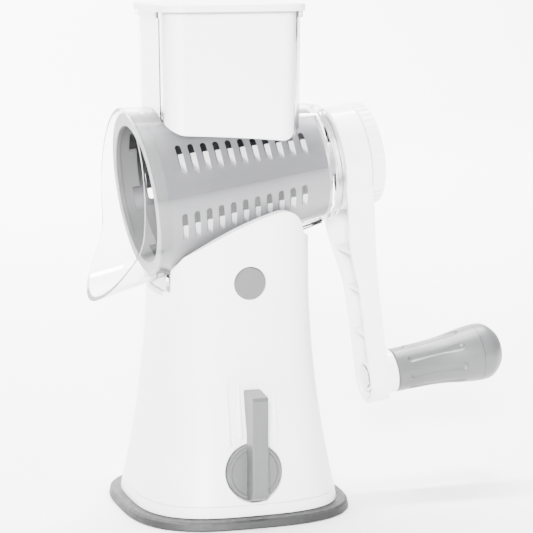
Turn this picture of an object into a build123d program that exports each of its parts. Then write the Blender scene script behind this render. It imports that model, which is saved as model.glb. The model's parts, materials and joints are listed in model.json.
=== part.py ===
from build123d import *
import math
import os

# ---------------------------------------------------------------- overall
HEIGHT = 290.0                 # worktop to the top of the pusher lid
WALL = 2.8                     # body shell
CLEAR_WALL = 2.0               # clear barrel housing
GAP = 0.5                      # clearance between parts that lift apart

# drum axis: passes through the centre of the drum's front face
TILT = 8.0                     # rise towards the crank, degrees
DRUM_X, DRUM_Z = -53.1, 182.1
AXIS_PLANE = Plane(
    origin=(DRUM_X, 0, DRUM_Z),
    x_dir=(-math.sin(math.radians(TILT)), 0, math.cos(math.radians(TILT))),
    z_dir=(math.cos(math.radians(TILT)), 0, math.sin(math.radians(TILT))),
)

# barrel housing, radii at the front face and fall per mm towards the crank
HOUSING_R0, HOUSING_FALL = 49.9, 0.142
HOUSING_END = 107.5            # where the cone meets the rear skirt
SKIRT_R, SKIRT_END = 32.2, 113.4
BOSS_R = 13.0                  # bearing boss in the rear wall
RIM_X = -61.0                  # upright front rim
SPOUT_BEND_Z, SPOUT_BEND_R, SPOUT_ANGLE = 166.0, 36.0, 30.0

# hopper and pusher
HOPPER_X, HOPPER_HX, HOPPER_HY, HOPPER_R = -3.8, 41.2, 33.9, 13.0
RIM_TOP = 285.7
LID_HX, LID_HY, LID_T = 43.6, 36.9, 4.1

# drum
SHEET_R0, SHEET_FALL, SHEET_T = 45.3, 0.133, 1.0
SHEET_START, SHEET_END = 3.0, 105.0
RING_R, RING_INNER, RING_BAND = 46.9, 39.4, 6.8
ROWS, SLOTS, SLOT_PITCH, SLOT_W = 7, 11, 7.4, 3.6
SLOT_SPAN = 22.0               # degrees around the drum
TOOTH_RISE = 1.0

# crank
HEAD_R, HEAD_S0, HEAD_S1 = 30.4, 117.0, 132.9
ARM_S0, ARM_WALL = 121.3, 2.4  # face of the arm that looks at the base, at its thin end
ARM_N, ARM_TIP_N, ARM_END_R = -132.8, -135.2, 14.0
ARM_EDGE = [(-8, 25.4), (-32, 23.6), (-56, 17.6), (-84, 14.0), (-112, 13.4), (ARM_N, 13.8)]
RIB_N = (-55, -79, -106)
NUT_R, NUT_S0, NUT_S1, NUT_RIBS = 29.8, 133.4, 141.6, 40
GRIP_S0, GRIP_SEAM, GRIP_END = 139.7, 193.4, 208.4
SPINDLE_R = 4.0

# body
BODY_X = 0.6
BODY_TOP_HALF, BODY_FLARE, FLARE_TOP, FLARE_H, FLARE_POWER = 44.0, 15.3, 148.0, 140.0, 2.05
BODY_Z0 = 11.8
KEEL_HALF, KEEL_WALL, KEEL_X0, KEEL_X1 = 18.0, 2.0, -40.5, 39.5
KEEL_Z0, KEEL_SLOPE = 127.5, 18.2
TAIL_X, TAIL_RISE = 52.8, 5.7  # shallow end of the keel over the body's rear wall

# suction base
FOOT_HX, FOOT_HY, FOOT_LIP = 66.0, 67.0, 5.2
KNOB_X, KNOB_Z, KNOB_R = -0.4, 29.5, 16.2
LEVER_W = 9.2
KNOB_FACE, KNOB_BACK = -56.6, -51.4
SUCTION_LIFT = 4.0
RIDGE_PITCH, RIDGE_REACH, RIDGE_TOP = 6.9, 21.0, 84.0
SHAFT_R = 5.0
CAM_R = 6.0
BASE_SCREWS = [(-36, -36), (-36, 36), (37, -36), (37, 36)]

# release button and latch
BUTTON_X, BUTTON_Z, BUTTON_R = 0.8, 135.4, 9.0
BUTTON_TRAVEL = 3.5
SPRING_Z = 129.3


def turned(outline):
    """Solid of revolution about Z from (radius, height) points."""
    points = [(r, 0, h) for r, h in outline]
    return revolve(make_face(Polyline(*points, close=True)), Axis.Z)


def tube(r_out, r_in, z0, z1):
    """Hollow cylinder along Z."""
    return turned([(r_in, z0), (r_out, z0), (r_out, z1), (r_in, z1)])


def rod(radius, z0, z1):
    """Solid cylinder along Z."""
    return Pos(0, 0, z0) * extrude(Circle(radius), z1 - z0)


def on_axis(shape):
    """Move a shape drawn about Z onto the drum axis."""
    return AXIS_PLANE.location * shape


def along_y(x, z):
    """Location whose Z axis points away from the viewer's side, along +Y."""
    return Plane(origin=(x, 0, z), x_dir=(1, 0, 0), z_dir=(0, 1, 0)).location


def slab(x0, x1, y0, y1, z0, z1):
    """Box from its limits."""
    centre = Pos((x0 + x1) / 2, (y0 + y1) / 2, (z0 + z1) / 2)
    return centre * Box(x1 - x0, y1 - y0, z1 - z0)


def oval(half_x, half_y, z, power=3.0, x=BODY_X, count=24):
    """Superellipse face at height z."""
    points = []
    for k in range(count):
        a = 2 * math.pi * k / count
        c, s = math.cos(a), math.sin(a)
        points.append((
            x + half_x * math.copysign(abs(c) ** (2 / power), c),
            half_y * math.copysign(abs(s) ** (2 / power), s),
        ))
    return Pos(0, 0, z) * make_face(Spline(*points, periodic=True))


def prism_xz(lines, half_y):
    """Extrude a closed outline drawn in X and Z to both sides of y = 0."""
    face = make_face(lines)
    return extrude(face, half_y, both=True)


def housing_r(s):
    return HOUSING_R0 - HOUSING_FALL * s


def sheet_r(s):
    return SHEET_R0 - SHEET_FALL * (s - SHEET_START)


def cone_along_axis(offset, s0, s1):
    """Housing cone grown by an offset, between two stations of the drum axis."""
    return on_axis(turned([
        (0, s0), (housing_r(s0) + offset, s0), (housing_r(s1) + offset, s1), (0, s1),
    ]))


def body_half(z):
    rise = max(0.0, (FLARE_TOP - z) / FLARE_H)
    return BODY_TOP_HALF + BODY_FLARE * rise ** FLARE_POWER


def body_front(x, z):
    """Y of the body's front surface."""
    half = body_half(z)
    return -half * (1 - (abs(x - BODY_X) / half) ** 3) ** (1 / 3)


def tower(inset, z0, z1):
    """Body outline lofted between two heights, drawn in by an inset."""
    heights = [z0, 20, 34, 52, 76, 104, 140, z1]
    sections = [oval(body_half(z) - inset, body_half(z) - inset, z) for z in heights]
    return loft(sections)


def keel_bottom(x, drop=0.0):
    rise = math.tan(math.radians(KEEL_SLOPE))
    return KEEL_Z0 - drop + (x - KEEL_X0) * rise


def keel_wedge(half_y, x0, x1, drop, top):
    """Prism above the keel's sloping bottom line."""
    outline = Polyline(
        (x0, 0, keel_bottom(x0, drop)), (x1, 0, keel_bottom(x1, drop)),
        (x1, 0, top), (x0, 0, top), close=True,
    )
    return prism_xz(outline, half_y)


def above_saddle(drop):
    """Everything above the body's saddle edge, lowered by a drop."""
    rise = Spline((-64, 0, 130 - drop), (-42.2, 0, 145.3 - drop), (-20.5, 0, 158.7 - drop),
                  (4.9, 0, 170.3 - drop), (19, 0, 174.5 - drop))
    peak = ThreePointArc((19, 0, 174.5 - drop), (29.5, 0, 172 - drop), (35, 0, 163 - drop))
    rest = Polyline((35, 0, 163 - drop), (38, 0, 157.5 - drop), (64, 0, 157.5 - drop),
                    (64, 0, 240), (-64, 0, 240), (-64, 0, 130 - drop))
    return prism_xz([*rise.edges(), *peak.edges(), *rest.edges()], 70)


def body_top_cuts(grow):
    """Shapes that open the top of the tower for the barrel, grown by a wall."""
    cradle = cone_along_axis(GAP + grow, -45, 130)
    channel = keel_wedge(KEEL_HALF + GAP + grow, -64, KEEL_X1 + GAP + grow, GAP + grow, 240)
    notch = slab(-64, -36 + grow, -26 - grow, 26 + grow, 129 - grow, 240)
    return [above_saddle(grow), cradle, channel, notch]


def capsule(p, q, r_p, r_q):
    """Rounded tapered bar between two points."""
    axis = Vector(*q) - Vector(*p)
    far, diagonal = axis.length, math.sqrt(0.5)
    near_end = ThreePointArc((0, 0, -r_p), (r_p * diagonal, 0, -r_p * diagonal), (r_p, 0, 0))
    side = Line((r_p, 0, 0), (r_q, 0, far))
    far_end = ThreePointArc((r_q, 0, far), (r_q * diagonal, 0, far + r_q * diagonal),
                            (0, 0, far + r_q))
    spine = Line((0, 0, far + r_q), (0, 0, -r_p))
    outline = [curve.edges()[0] for curve in (near_end, side, far_end, spine)]
    bar = revolve(make_face(outline), Axis.Z)
    return Plane(origin=p, z_dir=axis.normalized()).location * bar


# ---------------------------------------------------------------- body shell
def make_body_shell():
    outer = tower(0, BODY_Z0, 190)
    inner = tower(WALL, BODY_Z0 - 1, 190)
    for cut in body_top_cuts(0):
        outer -= cut
    for cut in body_top_cuts(WALL):
        inner -= cut
    shell = outer - inner

    # ridges that run down to the knob
    for k in range(-2, 3):
        x = RIDGE_PITCH * k
        low = KNOB_Z + math.sqrt(RIDGE_REACH ** 2 - x ** 2)
        foot = (KNOB_X + x, body_front(x, low) + 1.5, low)
        tip = (KNOB_X + x, body_front(x, RIDGE_TOP) + 0.9, RIDGE_TOP)
        shell += capsule(foot, tip, 2.4, 0.9)

    # knob pocket and shaft bearing
    at_knob = along_y(KNOB_X, KNOB_Z)
    shell += at_knob * rod(KNOB_R + 2.4, -51.1, -47.4)
    shell += at_knob * rod(8.5, -50, -12)
    shell -= at_knob * rod(KNOB_R + 0.6, -70, -51.0)
    shell -= at_knob * rod(SHAFT_R + 0.1, -60, 0)

    # button bore with its guide sleeve
    at_button = along_y(BUTTON_X, BUTTON_Z)
    sleeve = at_button * rod(BUTTON_R + 2.2, -42.5, -34)
    for cut in body_top_cuts(0):
        sleeve -= cut
    shell += sleeve
    shell -= at_button * rod(BUTTON_R + 0.4, -60, -30)
    shell -= slab(-5.6 + BUTTON_X, 5.6 + BUTTON_X, -16, -4.5, 130, 150)

    # screw bosses over the base plate
    for x, y in BASE_SCREWS:
        shell += Pos(x, y, 0) * tube(5.0, 1.9, BODY_Z0, 30)
        shell += Pos(x, y, 0) * rod(5.0, 28, 31)
        outward = slab(*sorted((x, x * 1.28)), y - 1.2, y + 1.2, BODY_Z0 + 1, 28)
        shell += outward - Pos(x, y, 0) * rod(4.0, 0, 40)

    # bridge behind the latch that backs its spring
    shell += slab(BUTTON_X - 7.6, BUTTON_X + 7.6, -19.6, -17.4, 123.5, 138.0)
    shell -= slab(BUTTON_X - 5.2, BUTTON_X + 5.2, -21, -17, 132.3, 137.0)
    return shell - slab(-80, 80, -80, 80, 0, BODY_Z0)


# ---------------------------------------------------------------- base
def make_base_skirt():
    z_low, z_top = 5.7, BODY_Z0 - 0.3
    outer = loft([oval(59.6, 59.6, z_low), oval(body_half(z_top), body_half(z_top), z_top)])
    recess = extrude(oval(56.9, 56.9, z_low - 1), 9.0 - z_low + 1)
    skirt = outer - recess - rod(8.0, 0, 20)
    for x, y in BASE_SCREWS:
        skirt -= Pos(x, y, 0) * rod(2.3, 0, 20)
        skirt -= Pos(x, y, 0) * rod(4.1, 0, 10.0)
    return skirt


def make_foot_ring():
    lip = loft([oval(FOOT_HX - 0.8, FOOT_HY - 0.8, 0), oval(FOOT_HX, FOOT_HY, 1.0)])
    lip += loft([oval(FOOT_HX, FOOT_HY, 1.0), oval(FOOT_HX - 0.6, FOOT_HY - 0.6, 4.2)])
    lip += loft([oval(FOOT_HX - 0.6, FOOT_HY - 0.6, 4.2),
                 oval(FOOT_HX - 1.8, FOOT_HY - 1.8, FOOT_LIP)])
    tongue = extrude(oval(56.2, 56.2, FOOT_LIP - 0.5), 4.0)
    ring = lip + tongue - rod(52.0, -1, 20)
    for x, y in BASE_SCREWS:
        ring -= Pos(x, y, 0) * rod(4.6, 4.0, 20)
    return ring


def make_diaphragm():
    return turned([
        (0, 0), (50.6, 0), (51.4, 0.8), (51.4, 3.0), (40, 3.0), (12, 5.2),
        (6.8, 5.6), (6.8, 8.0), (0, 8.0),
    ])


def make_yoke():
    """Stem with a window around the cam; it hangs on the diaphragm."""
    stem = rod(4.5, 8.0, 16.5)
    frame = slab(-13.5, 13.5, -3.6, 3.6, 15.4, 40.5)
    window = slab(-11.3, 11.3, -5, 5, 18.6, KNOB_Z + CAM_R + 0.4)
    return Pos(KNOB_X, 0, 0) * (stem + frame - window)


def cam_outline():
    """Cam whose flat follower rises evenly over a quarter turn."""
    rate = SUCTION_LIFT / (math.pi / 2)
    points = []
    for k in range(7):
        a = math.radians(15 * k)
        height = CAM_R + rate * a
        # the lobe stands on the -X side and comes up to +Z as the knob turns
        u = (-math.sin(a), math.cos(a))
        v = (-math.cos(a), -math.sin(a))
        points.append((height * u[0] + rate * v[0], height * u[1] + rate * v[1]))
    return points


def make_cam_shaft():
    at_knob = along_y(KNOB_X, KNOB_Z)
    shaft = at_knob * rod(SHAFT_R, -51.0, 5.0)
    square = Pos(KNOB_X, -51.0, KNOB_Z) * Box(6.0, 8.0, 6.0)
    lobe = cam_outline()
    curve = Spline(*[(x, 0, z) for x, z in lobe])
    core = [(CAM_R * math.sin(a), 0, CAM_R * math.cos(a))
            for a in [math.radians(230 - 23 * k) for k in range(11)]]
    back = Polyline(curve @ 1, *core, curve @ 0)
    cam = prism_xz([*curve.edges(), *back.edges()], 3.2)
    return shaft + square + Pos(KNOB_X, 0, KNOB_Z) * cam


def make_knob():
    disc = along_y(0, 0) * turned([
        (0, KNOB_FACE + 0.6), (KNOB_R - 3.0, KNOB_FACE + 0.6), (KNOB_R - 2.4, KNOB_FACE),
        (KNOB_R - 1.2, KNOB_FACE), (KNOB_R, KNOB_FACE + 1.2), (KNOB_R, KNOB_BACK),
        (0, KNOB_BACK),
    ])
    # lever bar seen from the side: its back follows the body as it turns
    side = Polyline(
        (0, -54.5, -14.6), (0, -63.5, -14.2), (0, -66.6, -12.2), (0, -67.4, -9.0),
        (0, -67.4, 43.2), (0, -66.0, 45.0), (0, -51.0, 46.8), (0, -49.8, 45.6),
        (0, -52.2, 35.0), (0, -55.0, 25.0), (0, -55.7, 20.0), (0, -55.9, 16.0), (0, -54.5, 8.0),
        close=True,
    )
    bar = extrude(make_face(side), LEVER_W / 2, both=True)
    bar = fillet(bar.faces().sort_by(Axis.Y)[0].edges().filter_by(Axis.Z), 1.2)
    knob = disc + bar
    knob -= Pos(0, KNOB_BACK, 0) * Box(6.2, 8.6, 6.2)
    return Pos(KNOB_X, 0, KNOB_Z) * knob


def make_base_screws():
    screws = []
    for x, y in BASE_SCREWS:
        screw = Pos(x, y, 0) * (rod(1.8, 9.8, 26) + rod(3.8, 7.4, 9.9))
        screws.append(screw - Pos(x, y, 7.4) * Box(5.2, 0.9, 1.6))
    return screws


# ---------------------------------------------------------------- latch
def make_button():
    profile = [(0, -45.2), (BUTTON_R - 0.9, -45.2), (BUTTON_R, -44.3), (BUTTON_R, -36.5),
               (0, -36.5)]
    button = along_y(0, 0) * turned(profile)
    button -= along_y(0, 0) * rod(6.6, -41.0, -30)
    button += along_y(0, 0) * rod(2.6, -42.5, -34.0)
    return Pos(BUTTON_X, 0, BUTTON_Z) * button


def make_latch():
    bar = slab(-4.6, 4.6, -33.9, -9.5, 132.8, 135.5)
    plate = slab(-4.6, 4.6, -33.9, -32.0, SPRING_Z - 3.2, 135.5)
    tooth = slab(-4.6, 4.6, -13.0, -9.5, 134.0, 144.8)
    nose = slab(-4.0, 4.0, -17.2, -12.0, 142.6, 144.8)
    return Pos(BUTTON_X, 0, 0) * (bar + plate + tooth + nose)


def make_spring():
    """Light coil between the latch plate and the post behind it."""
    turns, length = 5, 11.0
    path = Helix(pitch=length / turns, height=length, radius=2.6)
    section = Plane(origin=path @ 0, z_dir=path % 0) * Circle(0.4)
    coil = sweep(section, path=path)
    return along_y(BUTTON_X, SPRING_Z) * Pos(0, 0, -31.4) * coil


# ---------------------------------------------------------------- barrel
def hopper_block(inset, z0, z1):
    """Rounded rectangular shaft, slightly narrower towards the drum."""
    draft = 0.7
    top = RectangleRounded(2 * (HOPPER_HX - inset), 2 * (HOPPER_HY - inset), HOPPER_R - inset)
    return Pos(HOPPER_X, 0, z1) * extrude(top, -(z1 - z0), taper=draft)


def front_cut():
    """Everything in front of the hood's rim and the spout's lip."""
    bend = math.radians(SPOUT_ANGLE)
    x1 = RIM_X - SPOUT_BEND_R + SPOUT_BEND_R * math.cos(bend)
    z1 = SPOUT_BEND_Z - SPOUT_BEND_R * math.sin(bend)
    xm = RIM_X - SPOUT_BEND_R + SPOUT_BEND_R * math.cos(bend / 2)
    zm = SPOUT_BEND_Z - SPOUT_BEND_R * math.sin(bend / 2)
    down = 44.0
    x2 = x1 - down * math.tan(bend)
    z2 = z1 - down
    arc = ThreePointArc((RIM_X, 0, SPOUT_BEND_Z), (xm, 0, zm), (x1, 0, z1))
    rest = Polyline((x1, 0, z1), (x2, 0, z2), (-140, 0, z2), (-140, 0, 260),
                    (RIM_X, 0, 260), (RIM_X, 0, SPOUT_BEND_Z))
    return prism_xz([*arc.edges(), *rest.edges()], 80)


def make_housing():
    cone = cone_along_axis(0, -45, HOUSING_END)
    skirt = on_axis(rod(SKIRT_R, HOUSING_END - 4, SKIRT_END))
    shaft = hopper_block(0, 196, RIM_TOP)
    rim = hopper_block(-1.4, RIM_TOP - 3.4, RIM_TOP)
    keel = keel_wedge(KEEL_HALF, KEEL_X0, KEEL_X1, 0, 180)
    keel -= keel_wedge(KEEL_HALF - KEEL_WALL, KEEL_X0 + KEEL_WALL, KEEL_X1 - KEEL_WALL, 4, 175)
    notch = slab(BUTTON_X - 4.8, BUTTON_X + 4.8, -KEEL_HALF - 1, -14, 130, 145.4)
    keel -= notch
    tail = keel_wedge(KEEL_HALF, KEEL_X1 - KEEL_WALL, TAIL_X, -TAIL_RISE, 180)
    housing = cone + skirt + shaft + rim + keel + tail
    housing -= cone_along_axis(-CLEAR_WALL, -50, HOUSING_END - 0.7)
    housing -= hopper_block(CLEAR_WALL + 0.2, 190, RIM_TOP + 0.01)
    # rear skirt: end wall, bearing boss, hollow behind
    housing -= on_axis(tube(SKIRT_R - CLEAR_WALL, BOSS_R, 110.0, 120))
    housing -= on_axis(rod(9.6, 100, 120))
    housing -= front_cut()
    for s, swell in ((109.6, 1.4), (SKIRT_END - 1.2, 1.2)):
        housing += on_axis(tube(SKIRT_R + swell, SKIRT_R - 1.0, s, s + 1.2))
    return housing


def make_rear_bush():
    return on_axis(turned([
        (7.1, 105.9), (12.5, 105.9), (12.5, 106.6), (9.5, 106.6), (9.5, SKIRT_END - 0.2),
        (7.1, SKIRT_END - 0.2),
    ]))


# ---------------------------------------------------------------- drum
def slot_rows():
    """Angle from local X towards local Y, and first station, of each slot row."""
    rows = []
    for k in range(ROWS):
        angle = 60.5 + 360.0 / ROWS * k
        start = 19.0 if k % 2 == 0 else 15.3
        rows.append((angle, start))
    return rows


def make_blade_cone():
    r0, r1 = sheet_r(SHEET_START), sheet_r(SHEET_END)
    cone = turned([
        (r0 - SHEET_T, SHEET_START), (r0, SHEET_START), (r1, SHEET_END), (r1 - SHEET_T, SHEET_END),
    ])
    windows, teeth = [], []
    for angle, start in slot_rows():
        for j in range(SLOTS):
            s = start + SLOT_PITCH * j
            r = sheet_r(s)
            a = math.radians(angle)
            length = math.radians(SLOT_SPAN) * r
            spot = Plane(
                origin=((r - 4) * math.cos(a), (r - 4) * math.sin(a), s),
                x_dir=(-math.sin(a), math.cos(a), 0),
                z_dir=(math.cos(a), math.sin(a), 0),
            )
            windows.append(spot.location * extrude(SlotOverall(length, SLOT_W), 8))
            teeth.append(Pos(0, 0, s) * tooth(r, angle))
    cone -= windows
    cone += teeth
    return on_axis(cone)


def tooth(r, angle):
    """Tongue of sheet that rises from one end of its slot to a cutting edge."""
    root, tip = angle + SLOT_SPAN / 2 + 1.6, angle - SLOT_SPAN * 0.12
    middle = (root + tip) / 2

    def at(radius, degrees):
        a = math.radians(degrees)
        return (radius * math.cos(a), radius * math.sin(a))

    outer = ThreePointArc(at(r - 0.1, root), at(r + TOOTH_RISE * 0.45, middle), at(r + TOOTH_RISE, tip))
    inner = ThreePointArc(at(r + TOOTH_RISE - 0.6, tip), at(r + TOOTH_RISE * 0.45 - 0.8, middle),
                          at(r - 0.9, root))
    ends = [Line(outer @ 1, inner @ 0), Line(inner @ 1, outer @ 0)]
    face = make_face([*outer.edges(), *inner.edges(), *[e.edges()[0] for e in ends]])
    half = SLOT_W / 2 - 0.35
    return extrude(face, half, both=True)


def make_drum_ring():
    lip = sheet_r(SHEET_START) + 0.1
    under = sheet_r(13.2) - SHEET_T - 0.1
    ring = turned([
        (RING_INNER, 0.4), (RING_INNER + 0.4, 0), (RING_R - 0.6, 0), (RING_R, 0.6),
        (RING_R - 0.3, RING_BAND), (lip, RING_BAND), (lip, SHEET_START - 0.1),
        (under, SHEET_START - 0.1), (under, 13.0), (under - 1.8, 13.0), (under - 1.8, 3.2),
        (RING_INNER, 2.6),
    ])
    gap = slab(30, 50, -7.2, 7.2, 8.4, 20)
    for k in range(7):
        ring -= Rot(0, 0, 360 / 7 * k) * gap
    return on_axis(ring)


def make_drum_hub():
    lip = sheet_r(SHEET_END) - SHEET_T - 0.1
    hub = turned([
        (0, 96), (11, 96), (11, 101.4), (lip - 1.6, 101.4), (lip - 1.6, 98), (lip, 98),
        (lip, 105.1), (lip + 1.0, 105.1), (lip + 1.0, 105.6), (0, 105.6),
    ])
    hub -= Pos(0, 0, 100) * Box(10.4, 10.4, 20)
    for k in range(6):
        hub -= Rot(0, 0, 60 * k + 30) * Pos(21.5, 0, 100) * Box(11, 9, 20)
    return on_axis(hub)


def make_drive_shaft():
    shaft = Pos(0, 0, 101) * Box(10.0, 10.0, 10.0)
    shaft += rod(7.0, 105.9, 116.9)
    shaft += Pos(0, 0, 116.5) * extrude(RegularPolygon(6.9, 6), 9.8)
    shaft += rod(5.0, 126.0, 139.0)
    return on_axis(shaft)


# ---------------------------------------------------------------- crank
def arm_outline(inset):
    """Outline of the arm square to the drum axis: local X up, Y across."""
    near = Spline(*[(n, half - inset, 0) for n, half in ARM_EDGE])
    far = Spline(*[(n, inset - half, 0) for n, half in reversed(ARM_EDGE)])
    ends = [Line(near @ 1, far @ 0), Line(far @ 1, near @ 0)]
    return make_face([*near.edges(), *far.edges(), *[e.edges()[0] for e in ends]])


def arm_relief(offset):
    """Space between the base and the arm, whose face steps back below the head."""
    s0, s1 = HEAD_S0 + offset, ARM_S0 + offset
    face = Spline((-45, 0, s0), (-85, 0, s1), tangents=[(-1, 0, 0.02), (-1, 0, 0.0)])
    rest = Polyline((-85, 0, s1), (-170, 0, s1), (-170, 0, 90), (0, 0, 90), (0, 0, s0), (-45, 0, s0))
    return prism_xz([*face.edges(), *rest.edges()], 60)


def make_crank_arm():
    depth = HEAD_S1 - HEAD_S0
    base = Pos(0, 0, HEAD_S0)
    arm = base * extrude(arm_outline(0), depth)
    arm += Pos(ARM_TIP_N, 0, 0) * rod(ARM_END_R, HEAD_S0, HEAD_S1)
    arm -= arm_relief(0)
    hollow = base * extrude(arm_outline(ARM_WALL), depth - ARM_WALL)
    hollow += Pos(ARM_TIP_N, 0, 0) * rod(ARM_END_R - ARM_WALL, HEAD_S0, HEAD_S1 - ARM_WALL)
    arm -= hollow - rod(HEAD_R - 0.5, 100, 150)
    for n in RIB_N:
        rib = Pos(n, 0, HEAD_S0 + depth / 2) * Rot(10, 0, 0) * Box(2.2, 60, depth + 8)
        arm += (rib & (base * extrude(arm_outline(0.5), depth - 0.5))) - arm_relief(1.5)
    arm += Pos(ARM_N, 0, 0) * rod(9.0, ARM_S0 + 1.5, HEAD_S1)
    arm += Pos(ARM_N, 0, 0) * turned([
        (0, HEAD_S1 - 1), (13.4, HEAD_S1 - 1), (12.6, GRIP_S0 - 0.4), (0, GRIP_S0 - 0.4)])
    head = rod(HEAD_R, HEAD_S0, HEAD_S1)
    head = chamfer(head.edges(), 0.8)
    arm += head
    arm -= tube(27.0, 12.5, HEAD_S0 - 1, 128.5)
    arm -= Pos(0, 0, 116) * extrude(RegularPolygon(7.05, 6), 10.6)
    arm -= rod(5.3, 110, 140)
    arm -= Pos(ARM_N, 0, 0) * rod(SPINDLE_R + 0.05, 110, 145)
    arm -= Pos(ARM_N, 0, 0) * rod(7.3, 110, ARM_S0 + 4.0)
    return on_axis(arm)


def make_crank_nut():
    nut = turned([
        (0, NUT_S0), (NUT_R - 0.5, NUT_S0), (NUT_R, NUT_S0 + 0.5), (NUT_R, NUT_S1 - 1.0),
        (NUT_R - 1.2, NUT_S1 - 0.2), (NUT_R - 5, NUT_S1), (0, NUT_S1 + 0.6),
    ])
    for k in range(NUT_RIBS):
        nut -= Rot(0, 0, 360 / NUT_RIBS * k) * Pos(NUT_R + 0.7, 0, 0) * rod(1.4, 130, 150)
    nut -= rod(5.05, 130, 139.4)
    return on_axis(nut)


def on_grip(shape):
    return on_axis(Pos(ARM_N, 0, 0) * shape)


def make_spindle():
    spindle = rod(SPINDLE_R, ARM_S0 + 2.5, 186.0) + rod(2.9, 185.0, 191.2)
    spindle += Pos(0, 0, ARM_S0 + 1.0) * extrude(RegularPolygon(7.0, 6), 2.9)
    return on_grip(spindle)


def grip_profile():
    """Waisted handle: slim at the arm, fuller at the seam."""
    return Spline((13.0, 0, GRIP_S0 + 0.8), (13.2, 0, 152), (14.3, 0, 171), (16.6, 0, 187),
                  (17.2, 0, GRIP_SEAM))


def make_grip():
    curve = grip_profile()
    rest = Polyline(curve @ 1, (8.9, 0, GRIP_SEAM), (8.9, 0, 185.2), (SPINDLE_R + 0.3, 0, 185.2),
                    (SPINDLE_R + 0.3, 0, GRIP_S0), (12.2, 0, GRIP_S0), curve @ 0)
    grip = revolve(make_face([*curve.edges(), *rest.edges()]), Axis.Z)
    for k in range(8):
        flute = capsule((15.6, 0, 149), (18.2, 0, 180), 3.4, 3.9)
        grip -= Rot(0, 0, 45 * k + 10) * flute
    return on_grip(grip)


def make_grip_nut():
    nut = Pos(0, 0, 186.3) * extrude(RegularPolygon(6.4, 6), 4.4)
    return on_grip(nut - rod(2.95, 180, 195))


def make_grip_cap():
    s0 = GRIP_SEAM + 0.25
    dome = Spline((17.2, 0, s0), (16.3, 0, 201), (11.5, 0, 206.6), (0, 0, GRIP_END),
                  tangents=[(0, 0, 1), (-1, 0, 0)])
    rest = Polyline((0, 0, GRIP_END), (0, 0, 196.5), (7.0, 0, 196.5), (7.0, 0, 191.0),
                    (8.7, 0, 191.0), (8.7, 0, s0), (17.2, 0, s0))
    return on_grip(revolve(make_face([*dome.edges(), *rest.edges()]), Axis.Z))


# ---------------------------------------------------------------- pusher
def make_pusher_body():
    gap = CLEAR_WALL + 0.2 + 0.6
    outer = hopper_block(gap, 196, RIM_TOP + 0.2)
    saddle = cone_along_axis(-CLEAR_WALL, -45, 130)
    inner = hopper_block(gap + 2.0, 190, RIM_TOP + 0.3)
    floor = cone_along_axis(-CLEAR_WALL + 2.2, -45, 130)
    return outer - saddle - (inner - floor)


def make_pusher_lid():
    plate = extrude(RectangleRounded(2 * LID_HX, 2 * LID_HY, 15), LID_T)
    plate = fillet(plate.edges().group_by(Axis.Z)[-1], 1.2)
    plate = Pos(HOPPER_X, 0, HEIGHT - LID_T) * plate
    gap = CLEAR_WALL + 0.2 + 0.6 + 2.0 + 0.1
    plug = hopper_block(gap, HEIGHT - LID_T - 5, HEIGHT - LID_T + 0.5)
    plug -= hopper_block(gap + 2.0, HEIGHT - LID_T - 6, HEIGHT - LID_T)
    return plate + plug


PARTS = {
    "body_shell": make_body_shell,
    "base_skirt": make_base_skirt,
    "base_screws": make_base_screws,
    "foot_ring": make_foot_ring,
    "suction_diaphragm": make_diaphragm,
    "suction_yoke": make_yoke,
    "suction_cam_shaft": make_cam_shaft,
    "suction_knob": make_knob,
    "release_button": make_button,
    "button_latch": make_latch,
    "button_spring": make_spring,
    "barrel_housing": make_housing,
    "rear_bush": make_rear_bush,
    "drum_blade_cone": make_blade_cone,
    "drum_front_ring": make_drum_ring,
    "drum_rear_hub": make_drum_hub,
    "drive_shaft": make_drive_shaft,
    "crank_arm": make_crank_arm,
    "crank_nut": make_crank_nut,
    "grip_spindle": make_spindle,
    "grip_sleeve": make_grip,
    "grip_lock_nut": make_grip_nut,
    "grip_end_cap": make_grip_cap,
    "pusher_body": make_pusher_body,
    "pusher_lid": make_pusher_lid,
}

os.makedirs("parts", exist_ok=True)
for name, make in PARTS.items():
    shape = make()
    if isinstance(shape, list):
        shape = Compound(children=[s.solid() for s in shape])
    export_step(shape, f"parts/{name}.step")
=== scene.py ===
import json
import math

import bpy
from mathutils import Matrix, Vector

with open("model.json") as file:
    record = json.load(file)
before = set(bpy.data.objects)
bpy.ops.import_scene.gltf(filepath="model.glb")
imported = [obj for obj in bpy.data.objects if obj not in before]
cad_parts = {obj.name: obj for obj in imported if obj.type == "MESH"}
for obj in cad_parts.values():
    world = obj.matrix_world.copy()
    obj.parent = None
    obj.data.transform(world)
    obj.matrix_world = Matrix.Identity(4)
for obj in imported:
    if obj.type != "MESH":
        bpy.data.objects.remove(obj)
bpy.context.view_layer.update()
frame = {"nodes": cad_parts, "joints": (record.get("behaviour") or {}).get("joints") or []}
nodes = frame["nodes"]

# ---------------------------------------------------------------- driving values, metres
CAMERA_PLACE = Vector((-0.35035, -1.14653, 0.33261))
CAMERA_TURN = math.radians(-18.12)      # about +Z, seen from above
CAMERA_DIP = math.radians(9.215)        # below level
LENS = 141.9
SENSOR, FAR = 36.0, 50.0                # sensor width in mm, clip distance
WORLD_LIGHT = 0.25
AIM = (0.0, 0.0, 0.15)                  # middle of the object, for the lights

CRANK_JOINT = next(j for j in frame["joints"] if j["name"] == "crank_turn")
AXIS = Vector(CRANK_JOINT["axis"]).normalized()
AXIS_POINT = Vector(CRANK_JOINT["pos_m"])
CONE_START, CONE_LENGTH = -0.109, 0.102     # drum sheet, measured from the crank joint
CONE_FRONT, CONE_BACK = 0.0453, 0.0317      # its radii


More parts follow.
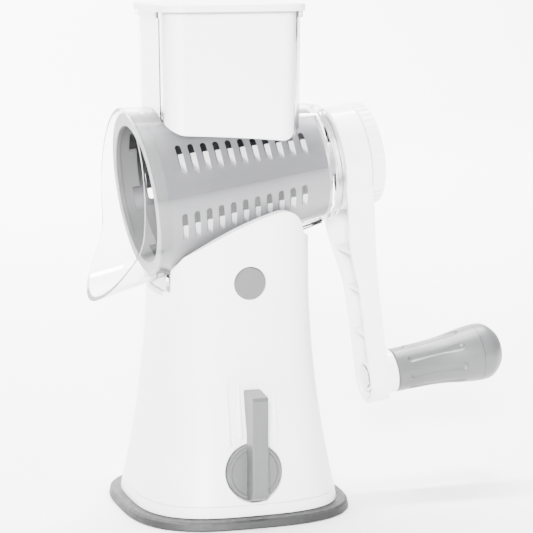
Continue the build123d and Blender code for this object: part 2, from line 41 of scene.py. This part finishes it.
# ---------------------------------------------------------------- material helpers
def set_ramp(node, dark, light, start, end):
    """Give a colour ramp node two stops."""
    first, last = node.color_ramp.elements
    first.position, first.color = start, (*dark, 1)
    last.position, last.color = end, (*light, 1)


class Graph:
    """A small node graph around one Principled shader."""

    def __init__(self, name):
        self.material = bpy.data.materials.new(name)
        self.material.use_nodes = True
        self.tree = self.material.node_tree
        self.shader = self.tree.nodes["Principled BSDF"]
        self.place = self.add("ShaderNodeTexCoord").outputs["Object"]

    def add(self, kind, **settings):
        node = self.tree.nodes.new(kind)
        for key, value in settings.items():
            setattr(node, key, value)
        return node

    def link(self, a, b):
        self.tree.links.new(a, b)

    def set(self, **values):
        for key, value in values.items():
            self.shader.inputs[key.replace("_", " ")].default_value = value

    def noise(self, scale, detail=3.0, vector=None):
        node = self.add("ShaderNodeTexNoise")
        node.inputs["Scale"].default_value = scale
        node.inputs["Detail"].default_value = detail
        self.link(vector or self.place, node.inputs["Vector"])
        return node.outputs["Fac"]

    def span(self, source, low, high, start=0.3, end=0.7):
        node = self.add("ShaderNodeMapRange")
        node.inputs["From Min"].default_value = start
        node.inputs["From Max"].default_value = end
        node.inputs["To Min"].default_value = low
        node.inputs["To Max"].default_value = high
        self.link(source, node.inputs["Value"])
        return node.outputs["Result"]

    def ramp(self, source, dark, light, start=0.3, end=0.7):
        """Colour that goes from one tone to another as the source rises."""
        node = self.add("ShaderNodeValToRGB")
        set_ramp(node, dark, light, start, end)
        self.link(source, node.inputs["Fac"])
        return node.outputs["Color"]

    def shade(self, source, dark, light):
        """Base colour that wanders between two close tones."""
        self.link(self.ramp(source, dark, light), self.shader.inputs["Base Color"])

    def bump(self, source, distance, strength=1.0):
        node = self.add("ShaderNodeBump")
        node.inputs["Distance"].default_value = distance
        node.inputs["Strength"].default_value = strength
        self.link(source, node.inputs["Height"])
        self.link(node.outputs["Normal"], self.shader.inputs["Normal"])

    def vector(self, operation, first, second=None):
        """Vector maths node; each operand is a socket or a plain vector."""
        node = self.add("ShaderNodeVectorMath", operation=operation)
        for operand, socket in ((first, node.inputs[0]), (second, node.inputs[1])):
            if isinstance(operand, Vector):
                socket.default_value = operand
            elif operand is not None:
                self.link(operand, socket)
        return node

    def blend(self, amount, low, high):
        """Mix two colours, each a socket or a plain value."""
        node = self.add("ShaderNodeMix", data_type="RGBA")
        self.link(amount, node.inputs["Factor"])
        for value, socket in ((low, node.inputs[6]), (high, node.inputs[7])):
            if isinstance(value, tuple):
                socket.default_value = value
            else:
                self.link(value, socket)
        return node.outputs[2]

    def rough(self, source, low, high):
        self.link(self.span(source, low, high), self.shader.inputs["Roughness"])


def grey(level, tint=0.0):
    """A neutral tone, a little towards blue for a positive tint."""
    return (level * (1 - tint), level * (1 - tint / 2), level)


def moulded(name, dark, light, rough=(0.28, 0.36), grain=0.00002, grain_scale=2600, coat=0.0):
    """Injection-moulded plastic: fine mould grain and slow tone and gloss changes."""
    g = Graph(name)
    g.shade(g.noise(22, 4), dark, light)
    g.rough(g.noise(60, 3), *rough)
    g.bump(g.noise(grain_scale, 2), grain, 0.35)
    g.set(IOR=1.5, Coat_Weight=coat, Coat_Roughness=0.12)
    return g.material


def clear_plastic(name):
    """Clear polished styrene: faint flow ripple, and a painted shade that darkens the wall where
    it is seen at a slant.
    """
    g = Graph(name)
    slant = g.add("ShaderNodeLayerWeight")
    slant.inputs["Blend"].default_value = 0.35
    # painted shade: the colour darkens towards a slant, standing in for dark surroundings seen in
    # the wall edges
    tint = g.ramp(slant.outputs["Facing"], (0.97, 0.972, 0.975), (0.30, 0.30, 0.31), 0.55, 1.0)
    g.link(tint, g.shader.inputs["Base Color"])
    g.rough(g.noise(90, 2), 0.0, 0.02)
    g.bump(g.noise(45, 1), 0.00006, 0.2)
    g.set(Transmission_Weight=1.0, IOR=1.45)

    # light on its way to what stands behind the wall passes straight through
    path = g.add("ShaderNodeLightPath")
    through = g.add("ShaderNodeBsdfTransparent")
    through.inputs["Color"].default_value = (0.93, 0.93, 0.935, 1)
    mix = g.add("ShaderNodeMixShader")
    output = g.tree.nodes["Material Output"]
    g.link(path.outputs["Is Shadow Ray"], mix.inputs[0])
    g.link(g.shader.outputs["BSDF"], mix.inputs[1])
    g.link(through.outputs["BSDF"], mix.inputs[2])
    g.link(mix.outputs["Shader"], output.inputs["Surface"])
    return g.material


def from_axis(g):
    """Station along the drum axis, distance from it, and the outward direction."""
    offset = g.vector("SUBTRACT", g.place, AXIS_POINT).outputs["Vector"]
    station = g.vector("DOT_PRODUCT", offset, AXIS).outputs["Value"]
    along = g.vector("SCALE", AXIS)
    g.link(station, along.inputs["Scale"])
    radial = g.vector("SUBTRACT", offset, along.outputs["Vector"]).outputs["Vector"]
    radius = g.vector("LENGTH", radial).outputs["Value"]
    outward = g.vector("NORMALIZE", radial).outputs["Vector"]
    return station, radius, outward


def brushed_sheet(name):
    """Stainless sheet spun to a satin finish: rings round the drum, teeth lightened partly for a
    polished edge and partly as a painted highlight, and a near-black painted shade on the inside
    and the cut edges.
    """
    g = Graph(name)
    station, radius, outward = from_axis(g)
    ring_place = g.add("ShaderNodeCombineXYZ")
    g.link(station, ring_place.inputs["X"])
    g.link(g.span(g.noise(9, 2), 0.0, 0.0006), ring_place.inputs["Y"])
    rings = g.noise(5200, 4, ring_place.outputs["Vector"])

    # a tooth stands above the cone of the sheet
    cone = g.span(station, CONE_FRONT, CONE_BACK, CONE_START, CONE_START + CONE_LENGTH)
    above = g.add("ShaderNodeMath", operation="SUBTRACT")
    g.link(radius, above.inputs[0])
    g.link(cone, above.inputs[1])
    tooth = g.span(above.outputs["Value"], 0.0, 1.0, 0.00015, 0.00045)

    # faces that look inwards or along the axis, the inside and the cut edges, get a near-black
    # painted shade
    normal = g.add("ShaderNodeTexCoord").outputs["Normal"]
    facing = g.vector("DOT_PRODUCT", normal, outward).outputs["Value"]
    outside_unshaded = g.span(facing, 0.0, 1.0, 0.35, 0.75)

    sheet = g.ramp(g.noise(16, 3), (0.17, 0.17, 0.18), (0.20, 0.20, 0.21))
    # teeth get a much lighter colour: partly a polished cutting edge, partly a painted highlight
    polished = g.blend(tooth, sheet, (0.62, 0.62, 0.63, 1))
    # the near-black colour here is painted shade on the inside and the cut edges
    g.link(g.blend(outside_unshaded, (0.035, 0.035, 0.037, 1), polished), g.shader.inputs["Base Color"])
    g.rough(rings, 0.34, 0.46)
    g.bump(rings, 0.00002, 0.5)
    g.set(Metallic=0.75, IOR=1.5)
    return g.material


def plain_steel(name, tone=0.55, rough=(0.22, 0.34)):
    """Turned or drawn steel."""
    g = Graph(name)
    g.shade(g.noise(120, 3), grey(tone * 0.9), grey(tone))
    g.rough(g.noise(400, 3), *rough)
    g.bump(g.noise(1800, 2), 0.00002, 0.4)
    g.set(Metallic=1.0)
    return g.material


def soft_rubber(name, dark, light):
    """Moulded rubber: matt, with a fine pebble and a little dust."""
    g = Graph(name)
    g.shade(g.noise(70, 5), dark, light)
    g.rough(g.noise(300, 3), 0.5, 0.66)
    g.bump(g.noise(3200, 3), 0.00005, 0.5)
    g.set(IOR=1.5, Specular_IOR_Level=0.4)
    return g.material


WHITE = moulded("white_gloss", grey(0.80, 0.005), grey(0.84, 0.005), coat=0.3)
WHITE_INNER = moulded("white_inner", grey(0.74), grey(0.80), rough=(0.45, 0.55))
GREY_PART = moulded("grey_satin", grey(0.075, 0.03), grey(0.088, 0.03), rough=(0.34, 0.42),
                    grain=0.00004, grain_scale=2200)
GREY_BUTTON = moulded("grey_button", grey(0.082, 0.02), grey(0.094, 0.02), rough=(0.36, 0.44))
GREY_RING = moulded("grey_ring", grey(0.085, 0.02), grey(0.10, 0.02), rough=(0.3, 0.38))
GREY_DARK = moulded("grey_inner", grey(0.12), grey(0.15), rough=(0.45, 0.55))
CLEAR = clear_plastic("clear_housing")
SHEET = brushed_sheet("drum_sheet")
STEEL = plain_steel("plain_steel")
SCREW_STEEL = plain_steel("screw_steel", 0.45, (0.3, 0.42))
RUBBER = soft_rubber("foot_rubber", grey(0.016, 0.02), grey(0.021, 0.02))
CUP_RUBBER = soft_rubber("cup_rubber", grey(0.014, 0.02), grey(0.018, 0.02))

FINISH = {
    "body_shell": WHITE,
    "base_skirt": WHITE,
    "base_screws": SCREW_STEEL,
    "foot_ring": RUBBER,
    "suction_diaphragm": CUP_RUBBER,
    "suction_yoke": WHITE_INNER,
    "suction_cam_shaft": GREY_DARK,
    "suction_knob": GREY_PART,
    "release_button": GREY_BUTTON,
    "button_latch": GREY_DARK,
    "button_spring": STEEL,
    "barrel_housing": CLEAR,
    "rear_bush": WHITE_INNER,
    "drum_blade_cone": SHEET,
    "drum_front_ring": GREY_RING,
    "drum_rear_hub": GREY_DARK,
    "drive_shaft": WHITE_INNER,
    "crank_arm": WHITE,
    "crank_nut": WHITE,
    "grip_spindle": STEEL,
    "grip_sleeve": GREY_PART,
    "grip_lock_nut": SCREW_STEEL,
    "grip_end_cap": GREY_PART,
    "pusher_body": WHITE,
    "pusher_lid": WHITE,
}

for name, material in FINISH.items():
    mesh = nodes[name].data
    mesh.materials.clear()
    mesh.materials.append(material)


# ---------------------------------------------------------------- stage
def make_floor():
    """Pale sweep: flat floor that curves up well behind the object."""
    half, front, back, rise, bend = 4.0, -4.0, 2.2, 4.0, 1.0
    profile = [(front, 0.0), (back, 0.0)]
    for k in range(1, 9):
        a = math.pi / 2 * k / 8
        profile.append((back + bend * math.sin(a), bend * (1 - math.cos(a))))
    profile.append((back + bend, rise))
    verts = [(x, y, z) for y, z in profile for x in (-half, half)]
    faces = [(2 * k, 2 * k + 1, 2 * k + 3, 2 * k + 2) for k in range(len(profile) - 1)]
    mesh = bpy.data.meshes.new("studio_floor")
    mesh.from_pydata(verts, [], faces)
    for polygon in mesh.polygons:
        polygon.use_smooth = True
    floor = bpy.data.objects.new("studio_floor", mesh)
    bpy.context.scene.collection.objects.link(floor)
    g = Graph("pale_floor")
    g.shade(g.noise(3, 2), grey(0.80), grey(0.82))
    g.set(Roughness=0.9)
    mesh.materials.append(g.material)


def add_light(name, place, target, size, power, size_y=None):
    """Soft area light that faces its target; size in metres, power in watts."""
    data = bpy.data.lights.new(name, "AREA")
    data.shape = "RECTANGLE"
    data.size = size
    data.size_y = size_y or size
    data.energy = power
    light = bpy.data.objects.new(name, data)
    light.location = place
    light.rotation_euler = (Vector(target) - Vector(place)).to_track_quat("-Z", "Y").to_euler()
    bpy.context.scene.collection.objects.link(light)


def make_world():
    """Dim surround, darker below the horizon."""
    world = bpy.data.worlds.new("studio")
    bpy.context.scene.world = world
    world.use_nodes = True
    tree = world.node_tree
    background = tree.nodes["Background"]
    background.inputs["Strength"].default_value = WORLD_LIGHT
    place = tree.nodes.new("ShaderNodeTexCoord")
    split = tree.nodes.new("ShaderNodeSeparateXYZ")
    ramp = tree.nodes.new("ShaderNodeValToRGB")
    tree.links.new(place.outputs["Generated"], split.inputs["Vector"])
    tree.links.new(split.outputs["Z"], ramp.inputs["Fac"])
    tree.links.new(ramp.outputs["Color"], background.inputs["Color"])
    set_ramp(ramp, grey(0.22), grey(1.0), 0.0, 0.45)


def make_camera():
    """Long lens, looking slightly down from the front left."""
    data = bpy.data.cameras.new("camera")
    data.lens = LENS
    data.sensor_width = SENSOR
    data.clip_end = FAR
    camera = bpy.data.objects.new("camera", data)
    camera.location = CAMERA_PLACE
    camera.rotation_euler = (math.pi / 2 - CAMERA_DIP, 0.0, CAMERA_TURN)
    bpy.context.scene.collection.objects.link(camera)
    bpy.context.scene.camera = camera


make_floor()
make_world()
add_light("key", (-0.75, -2.1, 0.85), AIM, 0.45, 270)
add_light("top", (0.1, 0.0, 1.9), AIM, 0.5, 60)
add_light("backdrop", (0.0, 1.1, 2.6), (0.0, 3.0, 0.5), 3.0, 950, 0.8)
make_camera()
